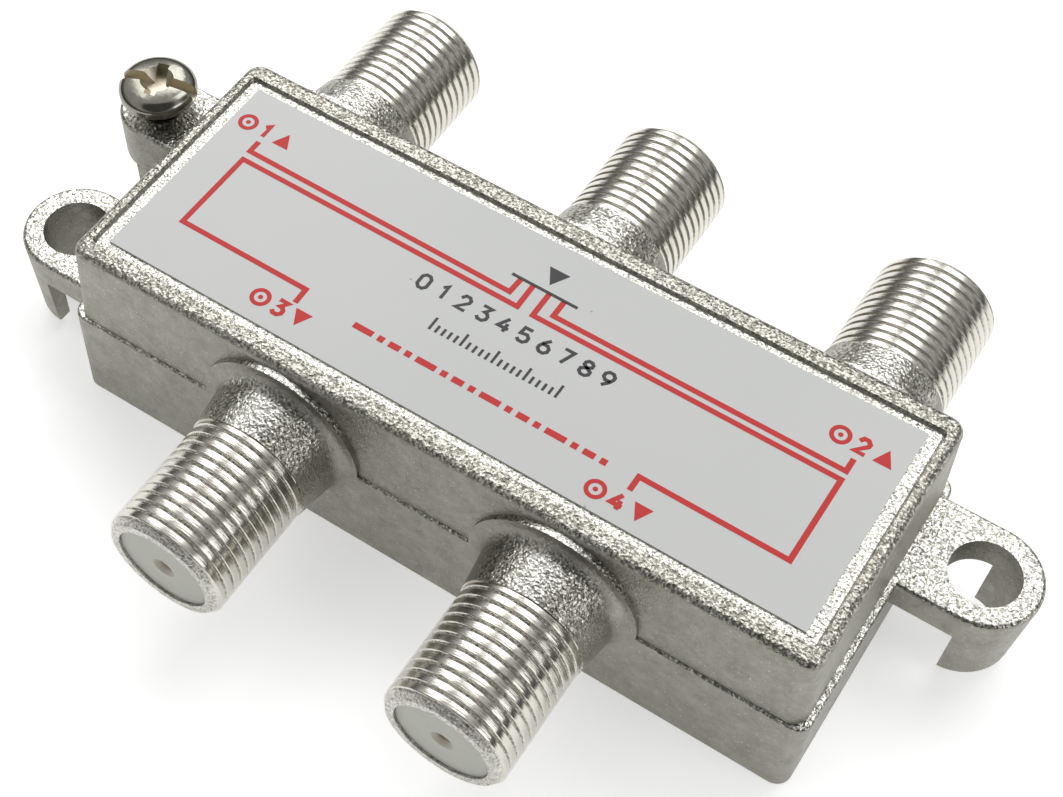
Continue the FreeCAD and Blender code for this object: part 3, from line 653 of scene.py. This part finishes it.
def dress_housing():
    """The casting with its ports threaded."""
    crest_r = BARREL_R - SKIM
    groove = groove_cutter(crest_r * MM, THREAD_DEPTH * MM, THREAD_PITCH * MM, NECK_END_Y * MM,
                           (MOUTH_Y + PAST_MOUTH) * MM, THREAD_CUTTER_R * MM, THREAD_STEPS)
    cutters = []
    for x, side in PORTS:
        turn = Matrix.Rotation(0 if side > 0 else math.pi, 4, "Z")
        cutters.append((groove, Matrix.Translation((x * MM, 0, PORT_Z * MM)) @ turn))
    mesh = cut_away(welded_copy("housing"), cutters)
    mesh.materials.clear()
    mesh.materials.append(CAST)
    mesh.materials.append(THREAD)
    groove_depth = mesh.attributes.new("groove", "FLOAT", "POINT")
    for vertex in mesh.vertices:
        distance, reach = nearest_port(vertex.co)
        share = (crest_r - GRAIN_BELOW_CREST - distance) / (GRAINED_DEPTH * THREAD_DEPTH)
        if reach > MOUTH_Y - GRAINED_CHAMFER * MOUTH_CHAMFER:
            share = 1.0
        groove_depth.data[vertex.index].value = min(max(share, 0.0), 1.0)
    for face in mesh.polygons:
        distance, reach = nearest_port(face.center)
        on_thread = (distance < BARREL_R + THREAD_SLACK
                     and reach > NECK_END_Y - THREAD_SLACK)
        face.material_index = 1 if on_thread else 0
    piece = place("cast_housing", smoothed(mesh, SMOOTH_BELOW), "splitter")
    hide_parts("housing")


# Earthing screw
# Share of its height that the head loses at the edge, and the spacing in millimetres and the
# number each way of the cuts that let its flat top bend
HEAD_CROWN = 0.3
CROWN_GRID = 0.4
CROWN_CUTS = 5
# How far in millimetres the recess's faces lie inside the head's outline, below its top and
# above its underside, at least, and the slack of the test for its top
INSIDE_OUTLINE, BELOW_TOP, ABOVE_UNDERSIDE = 0.06, 0.03, 0.1
TOP_SLACK = 0.001


def in_recess(point):
    """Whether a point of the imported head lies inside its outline, in the slot or the cross."""
    radius = math.hypot(point.x / MM - SCREW_X, point.y / MM - SCREW_Y)
    drop = SCREW_TOP_Z - point.z / MM
    flat_r = HEAD_R - HEAD_ROUND_R
    if point.z / MM < HEAD_UNDERSIDE_Z + ABOVE_UNDERSIDE:
        return False
    if radius > flat_r and drop < HEAD_ROUND_R:
        out = math.hypot(radius - flat_r, HEAD_ROUND_R - drop)
        return out < HEAD_ROUND_R - INSIDE_OUTLINE
    return radius < HEAD_R - INSIDE_OUTLINE and drop > BELOW_TOP


def crown_head(mesh):
    """Gives the pan head its low crown, and its recess a finish of its own."""
    bm = bmesh.new()
    bm.from_mesh(mesh)
    for face in bm.faces:
        face.material_index = 1 if in_recess(face.calc_center_median()) else 0
    level = (SCREW_TOP_Z - TOP_SLACK) * MM
    for axis, middle in ((Vector((1, 0, 0)), SCREW_X), (Vector((0, 1, 0)), SCREW_Y)):
        for step in range(-CROWN_CUTS, CROWN_CUTS + 1):
            top = [f for f in bm.faces if all(v.co.z > level for v in f.verts)]
            around = {e for f in top for e in f.edges} | {v for f in top for v in f.verts}
            bmesh.ops.bisect_plane(bm, geom=top + list(around), dist=SAME_PLACE, plane_no=axis,
                                   plane_co=axis * ((middle + step * CROWN_GRID) * MM))
    bmesh.ops.triangulate(bm, faces=bm.faces)
    for vertex in bm.verts:
        rise = vertex.co.z - HEAD_UNDERSIDE_Z * MM
        if rise > 0:
            radius = math.hypot(vertex.co.x / MM - SCREW_X, vertex.co.y / MM - SCREW_Y)
            vertex.co.z -= rise * HEAD_CROWN * (radius / HEAD_R) ** 2
    bm.to_mesh(mesh)
    bm.free()


def dress_screw():
    """The screw with its thread cut and its head crowned."""
    thread = groove_cutter((SHANK_R - SKIM) * MM, SCREW_THREAD_DEPTH * MM, SCREW_PITCH * MM,
                           SHANK_TIP_Z * MM, HEAD_UNDERSIDE_Z * MM, SCREW_CUTTER_R * MM,
                           SCREW_THREAD_STEPS)
    upright = Matrix.Translation((SCREW_X * MM, SCREW_Y * MM, 0))
    upright = upright @ Matrix.Rotation(math.pi / 2, 4, "X")
    mesh = cut_away(welded_copy("ground_screw"), [(thread, upright)])
    mesh.materials.clear()
    mesh.materials.append(SCREW)
    mesh.materials.append(RECESS)
    crown_head(mesh)
    piece = place("earthing_screw_threaded", smoothed(mesh, SMOOTH_BELOW), "earthing_screw")
    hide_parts("ground_screw")


def finish_nodes():
    """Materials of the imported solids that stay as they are."""
    for name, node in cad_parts.items():
        for kind, finish in FINISHES.items():
            if name.startswith(kind):
                node.data.materials.clear()
                node.data.materials.append(finish)


# Print on the label
# Places and sizes in millimetres, on the label's face
RED_LINES = [
    [(-24.6, 4.6), (-24.6, 3.5), (-1.8, 3.25), (-1.72, 4.6)],
    [(-0.7, 4.6), (-0.67, 2.45), (-24.55, 2.6), (-24.6, -4.5), (-13.7, -4.55), (-13.65, -5.9)],
    [(0.62, 4.6), (0.63, 2.4), (24.5, 2.35), (24.5, -4.9), (13.37, -4.85), (13.37, -6.1)],
    [(1.85, 4.6), (1.85, 3.15), (24.47, 3.12), (24.47, 4.26)],
]
LINE_WIDTH = 0.42
INK_THICKNESS = 0.012
# Least cosine at a line's corner, which keeps a sharp mitre short
MITRE_LIMIT = 0.5
# Where the ring, the numeral and the arrow of an output's mark stand, from the mark's place
RING_AT = (0.78, 0.75)
NUMERAL_AT = (2.05, 0.15)
ARROW_TO_REAR = [(3.4, 0.1), (4.8, 0.1), (4.1, 1.45)]
ARROW_TO_FRONT = [(3.4, 1.4), (4.8, 1.4), (4.1, 0.05)]
# Each output's number, the place of its mark, and its arrow
OUTPUT_MARKS = [
    ("1", -27.2, 5.0, ARROW_TO_REAR),
    ("2", 22.1, 4.75, ARROW_TO_REAR),
    ("3", -16.7, -7.6, ARROW_TO_FRONT),
    ("4", 10.7, -8.0, ARROW_TO_FRONT),
]
NUMERAL_HEIGHT = 1.2
RED_STROKE, BLACK_STROKE = 0.34, 0.26
# Share of the ink's thickness by which a crossing stroke lies higher
CROSSING_RISE = 0.3
# The ring and, as a share of it, the dot in its middle
RING_R, RING_WIDTH, RING_STEPS, DOT_SHARE = 0.62, 0.32, 32, 0.3
# The row of bars: where it starts, its end, its foot, and the lengths that repeat
BARS_FROM, BARS_TO, BARS_Y = -9.2, 8.2, -5.4
BAR_LENGTHS = (1.6, 0.5, 0.9, 0.5)
BAR_HEIGHT, BAR_GAP = 0.5, 0.42
INPUT_LINE = [(-2.5, 4.7), (2.9, 4.66)]
INPUT_LINE_WIDTH = 0.25
INPUT_ARROW = [(-0.62, 6.75), (0.22, 5.3), (1.06, 6.75)]
NUMBERS_X, NUMBERS_Y, NUMBERS_STEP = -7.6, 0.05, 1.66
# The scale under the numbers: its first tick, their number, and their size
SCALE_X, SCALE_Y, SCALE_STEP = -4.8, -2.6, 0.51
TICKS = 21
TICK_WIDTH, TICK_HEIGHT, FIFTH_TICK_HEIGHT = 0.2, 0.65, 1.15


def mitred_line(bm, points, width, thickness=INK_THICKNESS):
    """Flat line of even width through the points, closed where the last is the first."""
    closed = points[0] == points[-1]
    points = [Vector(p) for p in points]
    runs = [(b - a).normalized() for a, b in zip(points, points[1:])]
    sides = []
    for i, point in enumerate(points):
        before, after = runs[max(i - 1, 0)], runs[min(i, len(runs) - 1)]
        if closed and i in (0, len(points) - 1):
            before, after = runs[-1], runs[0]
        normal = Vector((-before.y - after.y, before.x + after.x)).normalized()
        reach = width / 2 / max(normal.dot(Vector((-after.y, after.x))), MITRE_LIMIT)
        sides.append((point + normal * reach, point - normal * reach))
    for near, far in zip(sides, sides[1:]):
        flat_shape(bm, [near[0], near[1], far[1], far[0]], thickness)


def flat_shape(bm, corners, thickness=INK_THICKNESS):
    """Thin plate of ink with this outline."""
    low = [bm.verts.new((x * MM, y * MM, LABEL_TOP_Z * MM)) for x, y in corners]
    top_z = (LABEL_TOP_Z + thickness) * MM
    high = [bm.verts.new((x * MM, y * MM, top_z)) for x, y in corners]
    count = len(corners)
    bm.faces.new(high)
    bm.faces.new(low[::-1])
    for i in range(count):
        j = (i + 1) % count
        bm.faces.new((low[i], low[j], high[j], high[i]))


def block(bm, x, y, width, height):
    """Rectangle of ink with its lower left corner at x, y."""
    flat_shape(bm, [(x, y), (x + width, y), (x + width, y + height), (x, y + height)])


# Strokes of plain numerals, one unit high
STROKES = {
    "0": [[(0, 0.2), (0, 0.8), (0.18, 1), (0.44, 1), (0.62, 0.8), (0.62, 0.2), (0.44, 0),
           (0.18, 0), (0, 0.2)]],
    "1": [[(0.1, 0.76), (0.36, 1), (0.36, 0)]],
    "2": [[(0, 0.74), (0.18, 1), (0.44, 1), (0.62, 0.8), (0.6, 0.62), (0, 0), (0.64, 0)]],
    "3": [[(0, 1), (0.6, 1), (0.28, 0.6), (0.46, 0.58), (0.62, 0.4), (0.62, 0.18), (0.44, 0),
           (0.16, 0), (0, 0.16)]],
    "4": [[(0.42, 1), (0, 0.28), (0.7, 0.28)], [(0.48, 0), (0.48, 0.62)]],
    "5": [[(0.58, 1), (0.08, 1), (0.02, 0.52), (0.42, 0.6), (0.62, 0.42), (0.62, 0.18), (0.44, 0),
           (0.16, 0), (0, 0.14)]],
    "6": [[(0.46, 1), (0.12, 0.62), (0, 0.36), (0, 0.18), (0.18, 0), (0.44, 0), (0.62, 0.18),
           (0.62, 0.4), (0.44, 0.58), (0.1, 0.56)]],
    "7": [[(0, 1), (0.62, 1), (0.22, 0)]],
    "8": [[(0.31, 0.54), (0.06, 0.68), (0.06, 0.86), (0.2, 1), (0.42, 1), (0.56, 0.86),
           (0.56, 0.68), (0.31, 0.54), (0, 0.36), (0, 0.16), (0.18, 0), (0.44, 0), (0.62, 0.16),
           (0.62, 0.36), (0.31, 0.54)]],
    "9": [[(0.16, 0), (0.5, 0.38), (0.62, 0.64), (0.62, 0.82), (0.44, 1), (0.18, 1), (0, 0.82),
           (0, 0.6), (0.18, 0.42), (0.52, 0.44)]],
}


def numeral(bm, text, x, y, width):
    """Plain numeral; a second stroke lies a little higher, so that it crosses the first."""
    for layer, stroke in enumerate(STROKES[text]):
        points = [(x + a * NUMERAL_HEIGHT, y + b * NUMERAL_HEIGHT) for a, b in stroke]
        mitred_line(bm, points, width, INK_THICKNESS * (1 + CROSSING_RISE * layer))


def socket_mark(bm, x, y):
    """Ring with a dot: the plain sign of a coaxial socket."""
    ring = []
    for i in range(RING_STEPS + 1):
        angle = math.tau * i / RING_STEPS
        ring.append((x + RING_R * math.cos(angle), y + RING_R * math.sin(angle)))
    mitred_line(bm, ring, RING_WIDTH)
    flat_shape(bm, [(x + (a - x) * DOT_SHARE, y + (b - y) * DOT_SHARE) for a, b in ring[:-1]])


def ink_piece(name, bm, finish):
    """Piece of all the print in one colour."""
    bmesh.ops.recalc_face_normals(bm, faces=bm.faces)
    mesh = bpy.data.meshes.new(name)
    bm.to_mesh(mesh)
    bm.free()
    mesh.materials.append(finish)
    place(name, mesh, "splitter")


def print_label():
    """Circuit lines, numbered marks and bars in red; the input, numbers and scale in black."""
    red = bmesh.new()
    for line in RED_LINES:
        mitred_line(red, line, LINE_WIDTH)
    for text, x, y, arrow in OUTPUT_MARKS:
        socket_mark(red, x + RING_AT[0], y + RING_AT[1])
        numeral(red, text, x + NUMERAL_AT[0], y + NUMERAL_AT[1], RED_STROKE)
        flat_shape(red, [(x + a, y + b) for a, b in arrow])
    x = BARS_FROM
    while x < BARS_TO:
        for length in BAR_LENGTHS:
            block(red, x, BARS_Y, length, BAR_HEIGHT)
            x += length + BAR_GAP
    ink_piece("red_print", red, RED_INK)

    black = bmesh.new()
    mitred_line(black, INPUT_LINE, INPUT_LINE_WIDTH)
    flat_shape(black, INPUT_ARROW)
    for index in range(10):
        numeral(black, str(index), NUMBERS_X + index * NUMBERS_STEP, NUMBERS_Y, BLACK_STROKE)
    for index in range(TICKS):
        height = FIFTH_TICK_HEIGHT if index % 5 == 0 else TICK_HEIGHT
        block(black, SCALE_X + index * SCALE_STEP, SCALE_Y, TICK_WIDTH, height)
    ink_piece("black_print", black, BLACK_INK)


# Studio
# Half the floor's side and its drop below the object, in metres
FLOOR_HALF = 2.0
FLOOR_DROP = 0.00002
# Light that the floor adds for the camera and in reflections: it turns white near the object
FLOOR_GLOW = 0.52
# Grey of the sky by height, from the horizon at 0 to overhead at 1
SKY = [(0.08, 0.06), (0.30, 0.22), (0.50, 0.66), (0.72, 0.68)]
# Dark in the metal's reflections: the camera's side, and a gap between the lamps.
# Each is a direction, the cosines where it begins and is full, and what is left of the sky.
DARK_PLACES = [
    ((0.277, -0.441, 0.854), 0.75, 0.88, 0.16),
    ((0.62, 0.45, 0.64), 0.975, 0.994, 0.22),
]
# Each lamp's name, direction, distance and size in metres, and power in watts
LAMPS = [
    ("left_softbox", (-0.51, 0.49, 0.71), 0.55, 0.27, 0.66),
    ("right_softbox", (0.10, 0.55, 0.83), 0.6, 0.30, 0.68),
    ("side_panel", (0.87, 0.05, 0.49), 0.6, 0.26, 0.45),
]


def lay_floor():
    """Uncoated white paper: matt and even, and it keeps the object's shadow."""
    mesh = bpy.data.meshes.new("floor")
    corners = [(-1, -1), (1, -1), (1, 1), (-1, 1)]
    mesh.from_pydata([(x * FLOOR_HALF, y * FLOOR_HALF, 0) for x, y in corners], [],
                     [(0, 1, 2, 3)])
    floor = bpy.data.objects.new("floor", mesh)
    bpy.context.scene.collection.objects.link(floor)
    floor.location.z = -FLOOR_DROP
    made, tree = start_material("white_paper_sweep")
    paper = add(tree, "ShaderNodeBsdfPrincipled", {
        "Base Color": colour("#FBFBFB"), "Roughness": 0.9, "Specular IOR Level": 0.2,
    })
    ray = add(tree, "ShaderNodeLightPath", {})
    seen = add(tree, "ShaderNodeMath", {
        0: ray.outputs["Is Camera Ray"], 1: ray.outputs["Is Glossy Ray"],
    }, operation="MAXIMUM")
    lift = add(tree, "ShaderNodeMath", {0: seen.outputs[0], 1: FLOOR_GLOW}, operation="MULTIPLY")
    glow = add(tree, "ShaderNodeEmission", {"Strength": lift.outputs[0]})
    surface = add(tree, "ShaderNodeAddShader", {0: paper.outputs[0], 1: glow.outputs[0]})
    add(tree, "ShaderNodeOutputMaterial", {"Surface": surface.outputs[0]})
    mesh.materials.append(made)


def make_sky():
    """Soft light from above with the dark places in it, white where the camera sees it."""
    world = bpy.data.worlds.new("studio")
    bpy.context.scene.world = world
    world.use_nodes = True
    tree = world.node_tree
    tree.nodes.clear()
    direction = add(tree, "ShaderNodeTexCoord", {})
    axes = add(tree, "ShaderNodeSeparateXYZ", {0: direction.outputs["Generated"]})
    ramp = add(tree, "ShaderNodeValToRGB", {0: axes.outputs["Z"]})
    stops = ramp.color_ramp.elements
    stops[0].position, stops[1].position = SKY[0][0], SKY[-1][0]
    for height, _ in SKY[1:-1]:
        stops.new(height)
    for stop, (_, grey) in zip(stops, SKY):
        stop.color = (grey, grey, grey, 1)
    shades = []
    for middle, begins, full, left in DARK_PLACES:
        toward = add(tree, "ShaderNodeVectorMath", {
            0: direction.outputs["Generated"], 1: middle,
        }, operation="DOT_PRODUCT")
        shades.append(add(tree, "ShaderNodeMapRange", {
            "Value": toward.outputs["Value"], "From Min": begins, "From Max": full,
            "To Min": 1.0, "To Max": left,
        }, interpolation_type="SMOOTHSTEP"))
    darkest = add(tree, "ShaderNodeMath", {0: shades[0].outputs[0], 1: shades[1].outputs[0]},
                  operation="MINIMUM")
    sky = add(tree, "ShaderNodeBackground", {0: ramp.outputs[0], 1: darkest.outputs[0]})
    white = add(tree, "ShaderNodeBackground", {0: colour("#FFFFFF"), 1: 1.0})
    ray = add(tree, "ShaderNodeLightPath", {})
    seen = add(tree, "ShaderNodeMixShader", {
        0: ray.outputs["Is Camera Ray"], 1: sky.outputs[0], 2: white.outputs[0],
    })
    add(tree, "ShaderNodeOutputWorld", {0: seen.outputs[0]})


def hang_lamps():
    """Softboxes that face the object."""
    for name, direction, distance, size, watts in LAMPS:
        data = bpy.data.lights.new(name, "AREA")
        data.shape = "SQUARE"
        data.size = size
        data.energy = watts
        lamp = bpy.data.objects.new(name, data)
        bpy.context.scene.collection.objects.link(lamp)
        lamp.location = Vector(direction).normalized() * distance
        lamp.rotation_euler = lamp.location.to_track_quat("Z", "Y").to_euler()


dress_housing()
dress_screw()
finish_nodes()
print_label()
lay_floor()
make_sky()
hang_lamps()
bpy.context.scene.view_settings.view_transform = "Standard"
